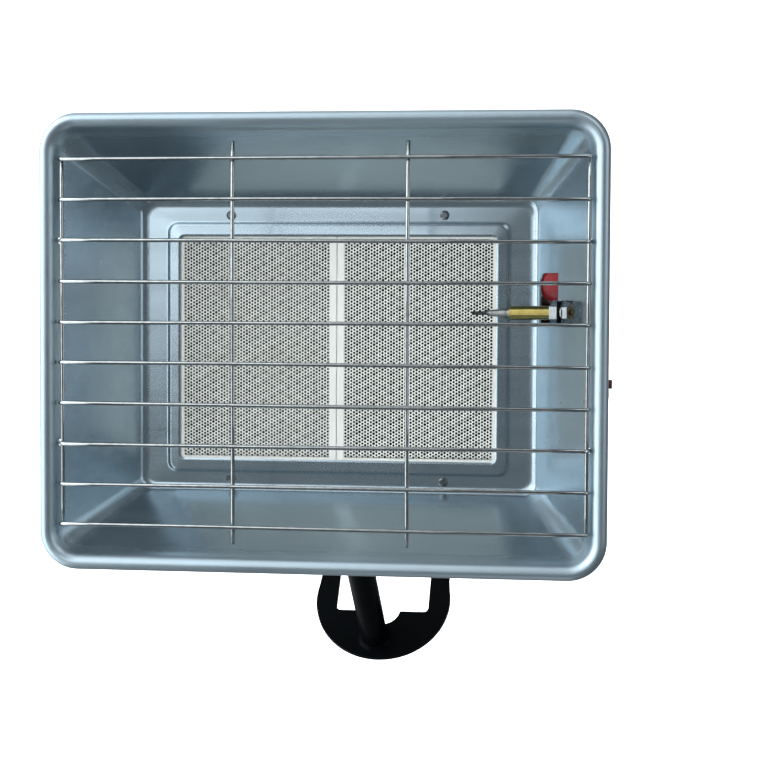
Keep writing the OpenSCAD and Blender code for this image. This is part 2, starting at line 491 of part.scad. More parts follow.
reflector();
wire_guard();
plaque_left();
plaque_right();
plaque_gasket();
burner_box();
baffle_plate();
box_screws();
venturi();
injector_holder();
injector();
supply_pipe();
flare_nuts();
valve_body();
valve_bracket();
bracket_screws();
gas_knob();
safety_button();
inlet_nipple();
magnet_unit();
thermocouple_tip();
thermocouple_sleeve();
thermocouple_nuts();
thermocouple_bracket();
thermocouple_lead();
tip_switch_housing();
tip_switch_lid();
tip_pendulum();
switch_screws();
switch_lead();
switch_gland();
tilt_bracket();
post_head();
pivot_bolt();
pivot_washers();
wing_nut();
post_tube();
weld_collar();
fork_plate();
clamp_nut();
clamp_screw();
clamp_pad();
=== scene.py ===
"""Looks of the portable gas heater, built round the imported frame. Lengths in the helpers are in millimetres of the dish frame unless said."""
import math
import bpy, bmesh
import numpy as np
from mathutils import Vector, Matrix, noise


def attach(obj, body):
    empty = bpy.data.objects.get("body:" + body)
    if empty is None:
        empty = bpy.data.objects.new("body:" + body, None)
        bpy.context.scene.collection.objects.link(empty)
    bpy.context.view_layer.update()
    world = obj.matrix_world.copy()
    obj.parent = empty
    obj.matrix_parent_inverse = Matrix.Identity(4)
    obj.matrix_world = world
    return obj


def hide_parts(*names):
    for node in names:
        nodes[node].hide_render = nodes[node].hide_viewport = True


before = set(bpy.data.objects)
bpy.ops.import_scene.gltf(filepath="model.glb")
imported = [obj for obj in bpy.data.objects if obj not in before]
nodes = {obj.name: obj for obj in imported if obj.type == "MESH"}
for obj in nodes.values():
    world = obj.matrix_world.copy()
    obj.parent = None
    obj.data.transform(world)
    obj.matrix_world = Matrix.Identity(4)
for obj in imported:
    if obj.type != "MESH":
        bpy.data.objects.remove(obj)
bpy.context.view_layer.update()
rng = np.random.default_rng(7)

# ------------------------------------------------------------------ dish frame
TILT = math.radians(50)
S, C = math.sin(TILT), math.cos(TILT)
PV, PW = -101.0, 94.0
CX, CY, CZ = -2.0, -(PV * S + PW * C), 148.0 - (PV * C - PW * S)


def D(x, v, w):
    """Dish frame (right, up the dish, behind the rim plane; mm) to the row frame (m)."""
    return Vector((CX + x, CY + v * S + w * C, CZ + v * C - w * S)) * 0.001


DISH = Matrix(((1, 0, 0, CX * .001), (0, S, -C, CY * .001), (0, C, S, CZ * .001), (0, 0, 0, 1)))  # X right, Y up the dish, Z to the viewer; metres


HW, HH, RR, FW, BH, T = 155.0, 124.75, 21.0, 55.0, 1.3, 0.8


def dvec(x, v, w):
    return Vector((x, v * S + w * C, v * C - w * S))


# ------------------------------------------------------------------ camera
F_PX = 2000.0
YAW, PITCH, ROLL = 0.136892, 0.050049, 0.004923
TX, TY, TZ = -35.105, -21.300, 1073.642
cy_, sy_, cp_, sp_, cr_, sr_ = (math.cos(YAW), math.sin(YAW), math.cos(PITCH), math.sin(PITCH), math.cos(ROLL), math.sin(ROLL))
right = Vector((cy_, sy_, 0))
fwd0 = Vector((-sy_, cy_, 0))
up0 = Vector((0, 0, 1))
fwd = cp_ * fwd0 - sp_ * up0
upc = sp_ * fwd0 + cp_ * up0
r3 = cr_ * right + sr_ * upc
u3 = -sr_ * right + cr_ * upc
pos = -(r3 * TX - u3 * TY + fwd * TZ)          # camera in (x, w, v)
cam_data = bpy.data.cameras.new("photo_camera")
cam_data.sensor_width = 36.0
cam_data.lens = F_PX / 768.0 * 36.0
cam_data.clip_start, cam_data.clip_end = 0.05, 50
cam = bpy.data.objects.new("photo_camera", cam_data)
bpy.context.scene.collection.objects.link(cam)
cr3, cu3, cf3 = (dvec(a.x, a.z, a.y) for a in (r3, u3, fwd))
m = Matrix.Identity(4)
for i in range(3):
    m[i][0], m[i][1], m[i][2] = cr3[i], cu3[i], -cf3[i]
p = D(pos.x, pos.z, pos.y)
m[0][3], m[1][3], m[2][3] = p
cam.matrix_world = m
bpy.context.scene.camera = cam
bpy.context.scene.view_settings.view_transform = "Standard"

# ------------------------------------------------------------------ light and floor
FRONT = dvec(0, 0, -1)
world = bpy.data.worlds.new("studio")
bpy.context.scene.world = world
world.use_nodes = True
wt = world.node_tree
bg = wt.nodes["Background"]
tc = wt.nodes.new("ShaderNodeTexCoord")
dot = wt.nodes.new("ShaderNodeVectorMath")
dot.operation = "DOT_PRODUCT"
sky = dvec(-0.85, 0.35, 0.40).normalized()      # a pale room behind the heater, dim where the viewer stands
dot.inputs[1].default_value = sky
wt.links.new(tc.outputs["Generated"], dot.inputs[0])
ramp = wt.nodes.new("ShaderNodeValToRGB")
ramp.color_ramp.elements[0].position = 0.12
ramp.color_ramp.elements[0].color = (0.09, 0.097, 0.103, 1)
ramp.color_ramp.elements[1].position = 0.34
ramp.color_ramp.elements[1].color = (0.125, 0.132, 0.138, 1)
for at, level in ((0.60, 0.17), (0.74, 0.33), (0.90, 0.62)):
    ramp.color_ramp.elements.new(at).color = (level, level * 1.04, level * 1.08, 1)
mr = wt.nodes.new("ShaderNodeMapRange")
mr.inputs["From Min"].default_value, mr.inputs["From Max"].default_value = -1, 1
wt.links.new(dot.outputs["Value"], mr.inputs["Value"])
wt.links.new(mr.outputs["Result"], ramp.inputs["Fac"])
wt.links.new(ramp.outputs["Color"], bg.inputs["Color"])
bg.inputs["Strength"].default_value = 1.0


def area(name, loc, target, size, power, size_y=None, color=(1, 1, 1)):
    d = bpy.data.lights.new(name, "AREA")
    d.energy = power
    d.color = color
    d.size = size
    if size_y:
        d.shape = "RECTANGLE"
        d.size_y = size_y
    o = bpy.data.objects.new(name, d)
    bpy.context.scene.collection.objects.link(o)
    o.location = loc
    o.rotation_euler = (Vector(target) - Vector(loc)).to_track_quat("-Z", "Y").to_euler()
    return o


def panel(name, az0, az1, el0, el1, radiance, dist=1.5, color=(1, 1, 1)):
    """Soft box that fills the given angles seen from the dish: azimuth to the right, elevation up the dish, degrees from its front axis."""
    az, el = math.radians((az0 + az1) / 2), math.radians((el0 + el1) / 2)
    aim = dvec(math.cos(el) * math.sin(az), math.sin(el), -math.cos(el) * math.cos(az)).normalized()
    x_ = dvec(0, 1, 0).cross(aim).normalized()
    y_ = aim.cross(x_)
    d = bpy.data.lights.new(name, "AREA")
    d.shape = "RECTANGLE"
    d.size = 2 * dist * math.tan(math.radians(abs(az1 - az0) / 2)) * math.cos(el)
    d.size_y = 2 * dist * math.tan(math.radians(abs(el1 - el0) / 2))
    d.energy = radiance * math.pi * d.size * d.size_y
    d.color = color
    o = bpy.data.objects.new(name, d)
    bpy.context.scene.collection.objects.link(o)
    at_ = D(0, 0, 20) + aim * dist
    mm = Matrix.Identity(4)
    for i in range(3):
        mm[i][0], mm[i][1], mm[i][2], mm[i][3] = x_[i], y_[i], aim[i], at_[i]
    o.matrix_world = mm
    o.visible_camera = False
    return o


COOL = (0.97, 0.99, 1.0)
LIGHTS = [("left_box", -55, -14.5, 0.5, 50, 1.55), ("far_left_box", -95, -55, 0, 50, 2.3), ("top_left_box", -60, -12, 50, 72, 1.05),
          ("low_left_box", -60, -33, -35, 0, 1.5), ("low_far_left_box", -95, -60, -55, 0, 1.3), ("top_right_box", 25, 60, 25, 60, 1.05),
          ("top_box", -12, 25, 50, 72, 0.3), ("over_box", -50, 20, 72, 89, 0.9), ("right_box", 50, 90, -6, 25, 0.75), ("low_box", -4, 26, -95, -55, 0.7),
          ("upper_box", -14.5, -3, 5, 19, 1.25)]
KEY = 1.75
for q in LIGHTS:
    panel(*q[:5], q[5] * KEY, color=COOL)
bg.inputs["Strength"].default_value = KEY

# a plain white floor and a white sweep far behind it, seen by the camera alone
def stage_mesh(name, verts, faces):
    me = bpy.data.meshes.new(name)
    me.from_pydata(verts, [], faces)
    o = bpy.data.objects.new(name, me)
    bpy.context.scene.collection.objects.link(o)
    o.visible_diffuse = o.visible_glossy = o.visible_transmission = o.visible_shadow = False
    return o


def dome(r, z0, nu=48, nv=16):
    verts = [(r * math.cos(2 * math.pi * i / nu) * math.cos(math.pi / 2 * j / nv), r * math.sin(2 * math.pi * i / nu) * math.cos(math.pi / 2 * j / nv), z0 + r * math.sin(math.pi / 2 * j / nv)) for j in range(nv) for i in range(nu)]
    faces = [(j * nu + i, j * nu + (i + 1) % nu, (j + 1) * nu + (i + 1) % nu, (j + 1) * nu + i) for j in range(nv - 1) for i in range(nu)]
    verts.append((0, 0, z0 + r))
    faces += [((nv - 1) * nu + i, (nv - 1) * nu + (i + 1) % nu, len(verts) - 1) for i in range(nu)]
    return verts, faces


FLOOR_Z = -0.42
floor = stage_mesh("floor", [(-8, -8, FLOOR_Z), (8, -8, FLOOR_Z), (8, 8, FLOOR_Z), (-8, 8, FLOOR_Z)], [(0, 1, 2, 3)])
sweep = stage_mesh("backdrop", *dome(7.5, FLOOR_Z - 0.1))


# ------------------------------------------------------------------ materials
class Mat:
    def __init__(self, name):
        self.m = bpy.data.materials.new(name)
        self.m.use_nodes = True
        self.nt = self.m.node_tree
        self.b = self.nt.nodes["Principled BSDF"]

    def n(self, kind, **kw):
        x = self.nt.nodes.new(kind)
        for k, v in kw.items():
            setattr(x, k, v)
        return x

    def l(self, a, b):
        self.nt.links.new(a, b)

    def set(self, **kw):
        for k, v in kw.items():
            k = {"ior": "IOR"}.get(k, k.replace("_", " ").title())
            s = self.b.inputs[k]
            s.default_value = v
        return self

    def coords(self, scale=(1, 1, 1), dish=True):
        """Object coordinates; with dish=True turned into the dish frame so that streaks run along its sides."""
        t = self.n("ShaderNodeTexCoord")
        a = self.n("ShaderNodeMapping")
        a.inputs["Location"].default_value = (-CX * .001, -CY * .001, -CZ * .001) if dish else (0, 0, 0)
        self.l(t.outputs["Object"], a.inputs["Vector"])
        b = self.n("ShaderNodeMapping")
        b.inputs["Rotation"].default_value = (-(math.pi / 2 - TILT) if dish else 0, 0, 0)
        b2 = self.n("ShaderNodeMapping")
        b2.inputs["Scale"].default_value = scale
        self.l(a.outputs[0], b.inputs[0])
        self.l(b.outputs[0], b2.inputs[0])
        return b2.outputs[0]

    def noise(self, vec, scale, detail=4, rough=0.55, dist=0.0):
        x = self.n("ShaderNodeTexNoise")
        self.l(vec, x.inputs["Vector"])
        x.inputs["Scale"].default_value = scale
        x.inputs["Detail"].default_value = detail
        x.inputs["Roughness"].default_value = rough
        x.inputs["Distortion"].default_value = dist
        return x.outputs["Fac"]

    def ramp(self, fac, stops):
        r = self.n("ShaderNodeValToRGB")
        e = r.color_ramp.elements
        while len(e) > 1:
            e.remove(e[-1])
        e[0].position, e[0].color = stops[0][0], (*stops[0][1], 1)
        for p_, c_ in stops[1:]:
            x = e.new(p_)
            x.color = (*c_, 1)
        self.l(fac, r.inputs["Fac"])
        return r.outputs["Color"]

    def range(self, fac, lo, hi, a=0.0, b=1.0):
        r = self.n("ShaderNodeMapRange")
        r.inputs["From Min"].default_value, r.inputs["From Max"].default_value = a, b
        r.inputs["To Min"].default_value, r.inputs["To Max"].default_value = lo, hi
        self.l(fac, r.inputs["Value"])
        return r.outputs["Result"]

    def mix(self, fac, a, b, mode="MIX"):
        x = self.n("ShaderNodeMix", data_type="RGBA", blend_type=mode)
        for s, v in ((x.inputs["Factor"], fac), (x.inputs["A"], a), (x.inputs["B"], b)):
            if hasattr(v, "links") or isinstance(v, bpy.types.NodeSocket):
                self.l(v, s)
            elif isinstance(v, (int, float)):
                s.default_value = v
            else:
                s.default_value = (*v, 1)
        return x.outputs["Result"]

    def math(self, op, a, b):
        x = self.n("ShaderNodeMath", operation=op)
        for s, v in ((x.inputs[0], a), (x.inputs[1], b)):
            if isinstance(v, (int, float)):
                s.default_value = v
            else:
                self.l(v, s)
        return x.outputs[0]

    def bump(self, height, strength=0.2, dist=0.0002, normal=None):
        x = self.n("ShaderNodeBump")
        x.inputs["Strength"].default_value = strength
        x.inputs["Distance"].default_value = dist
        self.l(height, x.inputs["Height"])
        if normal:
            self.l(normal, x.inputs["Normal"])
        return x.outputs["Normal"]


def steel(name, tint=(0.60, 0.67, 0.72), rough=(0.30, 0.46), streak=(1, 1, 1), strength=0.12, metal=1.0, handled=0.0):
    """Galvanised or aluminised sheet: soft spangle, fine drawing streaks, a few dull smears."""
    k = Mat(name)
    v = k.coords()
    big = k.noise(v, 9, 5, 0.6)
    mid = k.noise(v, 60, 4, 0.6, 0.3)
    c = k.mix(k.range(big, 0, 1, 0.35, 0.68), tuple(t * 0.93 for t in tint), tuple(min(1, t * 1.05) for t in tint))
    c = k.mix(k.range(mid, 0, 0.3, 0.4, 0.75), c, tuple(t * 0.9 for t in tint))
    k.l(c, k.b.inputs["Base Color"])
    k.set(metallic=metal)
    vs = k.coords(streak)
    fine = k.noise(vs, 900, 3, 0.6)
    smear = k.noise(vs, 120, 4, 0.65, 0.4)
    r = k.math("ADD", k.range(big, rough[0], rough[1], 0.3, 0.7), k.range(smear, -0.03, 0.04, 0.3, 0.7))
    if handled:                     # the rolled edge is duller than the pressed walls
        z = k.n("ShaderNodeSeparateXYZ")
        k.l(v, z.inputs[0])
        r = k.math("ADD", r, k.range(z.outputs["Z"], 0, handled, -0.009, -0.001))
    k.l(r, k.b.inputs["Roughness"])
    h = k.math("ADD", k.math("MULTIPLY", fine, 0.5), smear)
    k.l(k.bump(h, strength, 0.0002), k.b.inputs["Normal"])
    return k.m


M = {}
M["dish"] = steel("dish_sheet_steel", (0.335, 0.42, 0.475), (0.20, 0.25), (0.08, 1, 1), 0.012, 0.90, 0.16)
M["box"] = steel("box_sheet_steel", (0.36, 0.385, 0.40), (0.32, 0.5), (1, 0.15, 1), 0.15)


def chrome():
    k = Mat("chromed_wire")
    v = k.coords(dish=False)
    a = k.noise(v, 300, 4, 0.6)
    k.l(k.ramp(a, [(0.3, (0.25, 0.27, 0.275)), (0.7, (0.35, 0.375, 0.38))]), k.b.inputs["Base Color"])
    k.set(metallic=1.0)
    k.l(k.range(a, 0.03, 0.07, 0.3, 0.7), k.b.inputs["Roughness"])
    return k.m


M["chrome"] = chrome()


def zinc():
    k = Mat("bright_zinc")
    v = k.coords(dish=False)
    a = k.noise(v, 420, 4, 0.6)
    k.l(k.ramp(a, [(0.3, (0.17, 0.19, 0.20)), (0.7, (0.28, 0.30, 0.315))]), k.b.inputs["Base Color"])
    k.set(metallic=1.0)
    k.l(k.range(a, 0.16, 0.34, 0.3, 0.7), k.b.inputs["Roughness"])
    k.l(k.bump(k.noise(v, 1500, 3), 0.08, 0.0001), k.b.inputs["Normal"])
    return k.m


M["zinc"] = zinc()


def brass(name="turned_brass", a=(0.150, 0.120, 0.034), b=(0.215, 0.182, 0.066)):
    k = Mat(name)
    v = k.coords(dish=False)
    n1 = k.noise(v, 220, 4, 0.6)
    k.l(k.ramp(n1, [(0.25, a), (0.75, b)]), k.b.inputs["Base Color"])
    k.set(metallic=1.0)
    k.l(k.range(k.noise(v, 900, 3), 0.16, 0.26, 0.3, 0.7), k.b.inputs["Roughness"])
    k.l(k.bump(k.noise(v, 2500, 2), 0.02, 0.0001), k.b.inputs["Normal"])
    return k.m


M["brass"] = brass()
M["copper"] = brass("drawn_copper", (0.32, 0.15, 0.08), (0.45, 0.26, 0.16))


def probe():
    """Heat-dulled steel: sooty at the thin end, grey towards the sleeve."""
    k = Mat("dulled_probe_steel")
    v = k.coords(dish=False)
    t = k.n("ShaderNodeSeparateXYZ")
    k.l(v, t.inputs[0])
    a = k.noise(v, 500, 4, 0.6)
    along = k.math("ADD", t.outputs["X"], k.range(a, -0.0015, 0.0015, 0.3, 0.7))
    dark = k.ramp(a, [(0.3, (0.012, 0.013, 0.014)), (0.7, (0.035, 0.037, 0.038))])
    grey = k.ramp(a, [(0.3, (0.11, 0.115, 0.115)), (0.7, (0.19, 0.195, 0.195))])
    k.l(k.mix(k.range(along, 0, 1, (CX + 86.5) * .001, (CX + 90.5) * .001), dark, grey), k.b.inputs["Base Color"])
    k.set(metallic=1.0)
    k.l(k.range(k.noise(v, 900, 3), 0.24, 0.42, 0.3, 0.7), k.b.inputs["Roughness"])
    k.l(k.bump(a, 0.1, 0.0001), k.b.inputs["Normal"])
    return k.m


M["probe"] = probe()


def cast():
    k = Mat("cast_aluminium")
    v = k.coords(dish=False)
    a = k.noise(v, 260, 6, 0.65)
    k.l(k.ramp(a, [(0.3, (0.28, 0.28, 0.28)), (0.7, (0.40, 0.40, 0.395))]), k.b.inputs["Base Color"])
    k.set(metallic=1.0)
    k.l(k.range(a, 0.42, 0.62, 0.3, 0.7), k.b.inputs["Roughness"])
    k.l(k.bump(k.noise(v, 900, 5, 0.7), 0.35, 0.0003), k.b.inputs["Normal"])
    return k.m


M["cast"] = cast()


def ceramic():
    k = Mat("plaque_ceramic")
    v = k.coords()
    a = k.noise(v, 40, 5, 0.6)
    f = k.noise(v, 1400, 4, 0.65)
    c = k.ramp(a, [(0.3, (0.90, 0.92, 0.88)), (0.7, (0.95, 0.965, 0.93))])
    c = k.mix(k.range(f, 0, 0.4, 0.5, 0.75), c, (0.80, 0.82, 0.77))
    k.l(c, k.b.inputs["Base Color"])
    k.set(roughness=0.92)
    k.l(k.bump(f, 0.25, 0.00015), k.b.inputs["Normal"])
    return k.m


M["ceramic"] = ceramic()


def hole():
    k = Mat("plaque_hole_painted_shade")
    v = k.coords()
    t = k.n("ShaderNodeSeparateXYZ")
    k.l(v, t.inputs[0])
    # painted shade: near-black hole-wall colour for the shade deep inside the holes
    deep = k.ramp(k.noise(v, 700, 3), [(0.3, (0.010, 0.011, 0.011)), (0.7, (0.022, 0.023, 0.022))])
    pale = k.ramp(k.noise(v, 500, 3), [(0.3, (0.09, 0.098, 0.088)), (0.7, (0.19, 0.20, 0.18))])
    # painted light: hole walls paler towards the left plaque and near-black towards the right, by the X coordinate
    wall = k.mix(k.range(t.outputs["X"], 1, 0, -0.03, 0.02), deep, pale)
    # painted shade: only the first millimetre below the face keeps the ceramic colour, deeper hole walls take the
    # painted shade
    k.l(k.mix(k.range(t.outputs["Z"], 0, 1, -(FW - BH + T + 1.3) * .001, -(FW - BH + T + 0.35) * .001), wall, (0.88, 0.90, 0.85)), k.b.inputs["Base Color"])
    k.set(roughness=0.95)
    k.b.inputs["Specular IOR Level"].default_value = 0.1
    return k.m


M["hole"] = hole()


def fibre():
    k = Mat("gasket_fibre")
    v = k.coords((1, 0.3, 1))
    a = k.noise(v, 500, 6, 0.7)
    k.l(k.ramp(a, [(0.3, (0.36, 0.34, 0.28)), (0.7, (0.50, 0.48, 0.42))]), k.b.inputs["Base Color"])
    k.set(roughness=0.97)
    k.l(k.bump(a, 0.5, 0.0004), k.b.inputs["Normal"])
    return k.m


M["fibre"] = fibre()


def paint(name, a, b, rough=0.13, coat=0.6, spec=0.5):
    k = Mat(name)
    v = k.coords(dish=False)
    n1 = k.noise(v, 25, 4, 0.6)
    peel = k.noise(v, 420, 3, 0.5)
    k.l(k.ramp(n1, [(0.3, a), (0.7, b)]), k.b.inputs["Base Color"])
    k.set(metallic=0.0, coat_weight=coat, coat_roughness=0.06)
    k.b.inputs["Specular IOR Level"].default_value = spec
    k.l(k.range(k.noise(v, 120, 4), rough, rough + 0.1, 0.3, 0.7), k.b.inputs["Roughness"])
    k.l(k.bump(peel, 0.10, 0.0003), k.b.inputs["Normal"])
    return k.m


M["black"] = paint("black_gloss_paint", (0.0012, 0.0018, 0.0024), (0.0022, 0.003, 0.0038), 0.24, 0.0, 0.02)
M["red"] = paint("red_moulded_plastic", (0.34, 0.008, 0.011), (0.42, 0.016, 0.018), 0.25, 0.3)


def cover_red():
    """Moulded red plastic whose base colour is mixed down to near-black towards its foot: painted shade for the
    shadowed lower part seen through the window.
    """
    k = Mat("red_cover_plastic_painted_shade")
    v = k.coords()
    t = k.n("ShaderNodeSeparateXYZ")
    k.l(v, t.inputs[0])
    a = k.noise(v, 60, 4, 0.6)
    red = k.ramp(a, [(0.3, (0.19, 0.003, 0.004)), (0.7, (0.25, 0.005, 0.006))])
    # painted shade: near-black red for the shadowed lower part
    dark = k.ramp(a, [(0.3, (0.008, 0.002, 0.002)), (0.7, (0.018, 0.004, 0.004))])
    # painted shade: red above about 30 mm up the dish, near-black below about 18 mm
    up = k.math("ADD", t.outputs["Y"], k.range(a, -0.001, 0.001, 0.3, 0.7))
    k.l(k.mix(k.range(up, 0, 1, 0.018, 0.030), dark, red), k.b.inputs["Base Color"])
    k.b.inputs["Specular IOR Level"].default_value = 0.2
    k.l(k.range(k.noise(v, 120, 4), 0.22, 0.30, 0.3, 0.7), k.b.inputs["Roughness"])
    k.l(k.bump(k.noise(v, 420, 3), 0.06, 0.0002), k.b.inputs["Normal"])
    return k.m


M["cover"] = cover_red()
M["knob"] = paint("black_moulded_plastic", (0.012, 0.012, 0.013), (0.022, 0.022, 0.024), 0.38, 0.0)
M["rubber"] = paint("brown_rubber", (0.10, 0.030, 0.025), (0.16, 0.05, 0.04), 0.6, 0.0)
M["sheath"] = paint("black_sheath", (0.010, 0.010, 0.010), (0.02, 0.02, 0.02), 0.55, 0.0)


def floor_mat():
    k = Mat("white_studio_paper")
    v = k.coords(dish=False)
    c = k.ramp(k.noise(v, 3, 3), [(0.2, (0.995, 0.995, 0.995)), (0.8, (1.0, 1.0, 1.0))])
    k.l(c, k.b.inputs["Base Color"])
    k.l(c, k.b.inputs["Emission Color"])
    k.set(roughness=0.9)
    k.b.inputs["Emission Strength"].default_value = 1.0
    return k.m


M["paper"] = floor_mat()
floor.data.materials.append(M["paper"])
sweep.data.materials.append(M["paper"])

LOOK = {
    "burner_box": "box", "baffle_plate": "box", "valve_bracket": "box", "plaque_gasket": "fibre", "box_screws": "zinc",
    "venturi": "cast", "injector_holder": "brass", "injector": "brass", "supply_pipe": "copper", "flare_nuts": "brass", "valve_body": "brass",
    "bracket_screws": "zinc", "gas_knob": "knob", "safety_button": "red", "inlet_nipple": "brass", "magnet_unit": "zinc",
    "thermocouple_tip": "probe", "thermocouple_sleeve": "brass", "thermocouple_nuts": "zinc", "thermocouple_bracket": "black",
    "thermocouple_lead": "copper", "tip_switch_housing": "red", "tip_switch_lid": "red", "tip_pendulum": "brass", "switch_screws": "zinc",
    "switch_lead": "sheath", "switch_gland": "rubber", "tilt_bracket": "black", "post_head": "black", "pivot_bolt": "zinc",
    "pivot_washers": "zinc", "wing_nut": "zinc", "post_tube": "black", "weld_collar": "black", "fork_plate": "black", "clamp_nut": "zinc",
    "clamp_screw": "zinc", "clamp_pad": "zinc", "reflector": "dish", "wire_guard": "chrome", "plaque_left": "ceramic", "plaque_right": "ceramic",
}
for n, o in nodes.items():
    o.data.materials.clear()
    o.data.materials.append(M[LOOK[n]])


# ------------------------------------------------------------------ mesh helpers
def make(name, verts, faces, mat, body, smooth=True, world=False):
    """verts in the dish frame (x, v, w; mm) unless world (m)."""
    me = bpy.data.meshes.new(name)
    me.from_pydata([tuple(v) if world else tuple(D(*v)) for v in verts], [], faces)
    me.validate()
    o = bpy.data.objects.new(name, me)
    bpy.context.scene.collection.objects.link(o)
    me.materials.append(M[mat])
    if smooth:
        for f in me.polygons:
            f.use_smooth = True
    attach(o, body)
    return o


def apply_mods(o):
    dg = bpy.context.evaluated_depsgraph_get()
    me = bpy.data.meshes.new_from_object(o.evaluated_get(dg))
    old = o.data
    o.modifiers.clear()
    o.data = me
    bpy.data.meshes.remove(old)


def sharp(o, angle=35):
    """Smooth shading with hard edges above the angle."""
    me = o.data
    for f in me.polygons:
        f.use_smooth = True
    bm = bmesh.new()
    bm.from_mesh(me)
    lim = math.radians(angle)
    for e_ in bm.edges:
        if len(e_.link_faces) == 2 and e_.calc_face_angle(0) > lim:
            e_.smooth = False
    bm.to_mesh(me)
    bm.free()


# ------------------------------------------------------------------ reflector
WX, WV, WW, WH = 1.0, -4.0, 180.0, 126.0
FX, FV = 1.1, -2.8
PROFILE = [
    (HW - .9, HH - .9, RR - .9, 5.5, 0, 0), (HW - .15, HH - .15, RR - .15, 3.2, 0, 0), (HW, HH, RR, 1.2, 0, 0), (HW - .4, HH - .4, RR - .4, -.6, 0, 0),
    (HW - 1.5, HH - 1.5, RR - 1.5, -2.05, 0, 0), (HW - 3.1, HH - 3.1, RR - 3.1, -2.82, 0, 0), (HW - 4.7, HH - 4.7, RR - 4.7, -2.76, 0, 0),
    (HW - 6.2, HH - 6.2, RR - 6, -2.05, 0, 0), (HW - 7.6, HH - 7.6, RR - 7.1, -.75, 0, 0), (HW - 8.7, HH - 8.7, RR - 7.8, 1.0, 0, 0),
    (HW - 10, HH - 10, RR - 8.4, 4.3, .02, -.03),
    (HW - 40.6, HH - 41, 8, FW - 3.6, FX, FV), (HW - 42.3, HH - 42.8, 7.2, FW - 1.4, FX, FV), (HW - 44.4, HH - 44.9, 6.5, FW - .3, FX, FV),
    (HW - 46.5, HH - 46.5, 6.5, FW, FX, FV), (WW / 2 + 7.6, WH / 2 + 8.2, 6, FW - .38, WX, WV), (WW / 2 + 6.6, WH / 2 + 7.2, 5.4, FW - BH * .5 - .25, WX, WV),
    (WW / 2 + 5.6, WH / 2 + 6.2, 4.8, FW - BH, WX, WV), (WW / 2 + 1, WH / 2 + 1, 3.6, FW - BH - .35, WX, WV), (WW / 2, WH / 2, 2.6, FW - BH, WX, WV)]
K0 = (HW - 11.45 - (HW - 40.6 + FX)) / (FW - 3.6 - 7.2)


def wallx(w):
    return HW - 11.45 - K0 * (w - 7.2)


def catmull(p0, p1, p2, p3, t):
    p0, p1, p2, p3 = map(np.array, (p0, p1, p2, p3))
    return 0.5 * ((2 * p1) + (-p0 + p2) * t + (2 * p0 - 5 * p1 + 4 * p2 - p3) * t * t + (-p0 + 3 * p1 - 3 * p2 + p3) * t ** 3)


def stations():
    P = [np.array(q, float) for q in PROFILE]
    out = []
    for i in range(len(P) - 1):
        a, b = P[i], P[i + 1]
        if i == 10:                      # the wall: flat, with two holding loops
            ts = [0, .03, .25, .5, .75, .97]
            out += [a + (b - a) * t for t in ts]
        elif i in (14, 17):             # floor and border: flat
            ts = [0, .08, .5, .92]
            out += [a + (b - a) * t for t in ts]
        else:
            near = np.linalg.norm(b - a)
            p0 = P[i - 1] if i > 0 else a
            p3 = P[i + 2] if i + 2 < len(P) else b
            if i in (11, 15, 18):       # leave a flat part along its own line
                p0 = a - (a - p0) / np.linalg.norm(a - p0) * near
            if i in (9, 13, 16):        # and meet one the same way
                p3 = b + (p3 - b) / np.linalg.norm(p3 - b) * near
            for t in (0, 1 / 3, 2 / 3):
                out.append(catmull(p0, a, b, p3, t))
    out.append(P[-1])
    return out


def ring(s, cn=14, nx=24, ny=18):
    a, b, r, w, x0, y0 = s
    pts = []
    for q in range(4):
        sx = 1 if q in (0, 3) else -1
        sy = 1 if q < 2 else -1
        for i in range(cn + 1):
            t = math.radians(90 * q + 90 * i / cn)
            pts.append((x0 + sx * (a - r) + r * math.cos(t), y0 + sy * (b - r) + r * math.sin(t), w))
        # the straight side after this corner
        q2 = (q + 1) % 4
        sx2 = 1 if q2 in (0, 3) else -1
        sy2 = 1 if q2 < 2 else -1
        e0 = pts[-1]
        t2 = math.radians(90 * q2)
        e1 = (x0 + sx2 * (a - r) + r * math.cos(t2), y0 + sy2 * (b - r) + r * math.sin(t2), w)
        k = nx if q in (0, 2) else ny
        for i in range(1, k):
            pts.append(tuple(e0[j] + (e1[j] - e0[j]) * i / k for j in range(3)))
    return pts


def build_reflector():
    st = stations()
    verts, faces = [], []
    for s in st:
        verts += ring(s)
    n = len(verts) // len(st)
    for j in range(len(st) - 1):
        for i in range(n):
            a, b = j * n + i, j * n + (i + 1) % n
            faces.append((a, b, b + n, a + n))
    # a pressed sheet is never quite flat: a slow wander of a tenth of a millimetre in the walls
    out = []
    for (x, v, w) in verts:
        k = min(1, max(0, (w - 6) / 10)) * min(1, max(0, (FW - .6 - w) / 8))
        d = noise.noise(Vector((x * .011, v * .011, w * .02))) * 0.35 * k
        L = math.hypot(x, v) or 1
        out.append((x + d * x / L * .6, v + d * v / L * .6, w))
    o = make("reflector_shell", out, faces, "dish", "head")
    bm = bmesh.new()
    bm.from_mesh(o.data)
    bmesh.ops.recalc_face_normals(bm, faces=bm.faces)
    # the shown side looks to the viewer
    view = dvec(0, 0, -1)
    best = max(bm.faces, key=lambda f: f.calc_area())
    if best.normal.dot(view) < 0:
        bmesh.ops.reverse_faces(bm, faces=bm.faces)
    bm.to_mesh(o.data)
    bm.free()
    s = o.modifiers.new("sheet", "SOLIDIFY")
    s.thickness = T * .001
    s.offset = -1.0
    s.use_even_offset = True
    apply_mods(o)
    return o


def prism(pts, v0, v1, name="cut"):
    """Closed prism: polygon in (x, w), from v0 to v1."""
    n = len(pts)
    verts = [(x, v0, w) for x, w in pts] + [(x, v1, w) for x, w in pts]
    faces = [tuple(range(n)), tuple(range(2 * n - 1, n - 1, -1))] + [(i, i + n, (i + 1) % n + n, (i + 1) % n) for i in range(n)]
    return raw(name, verts, faces)


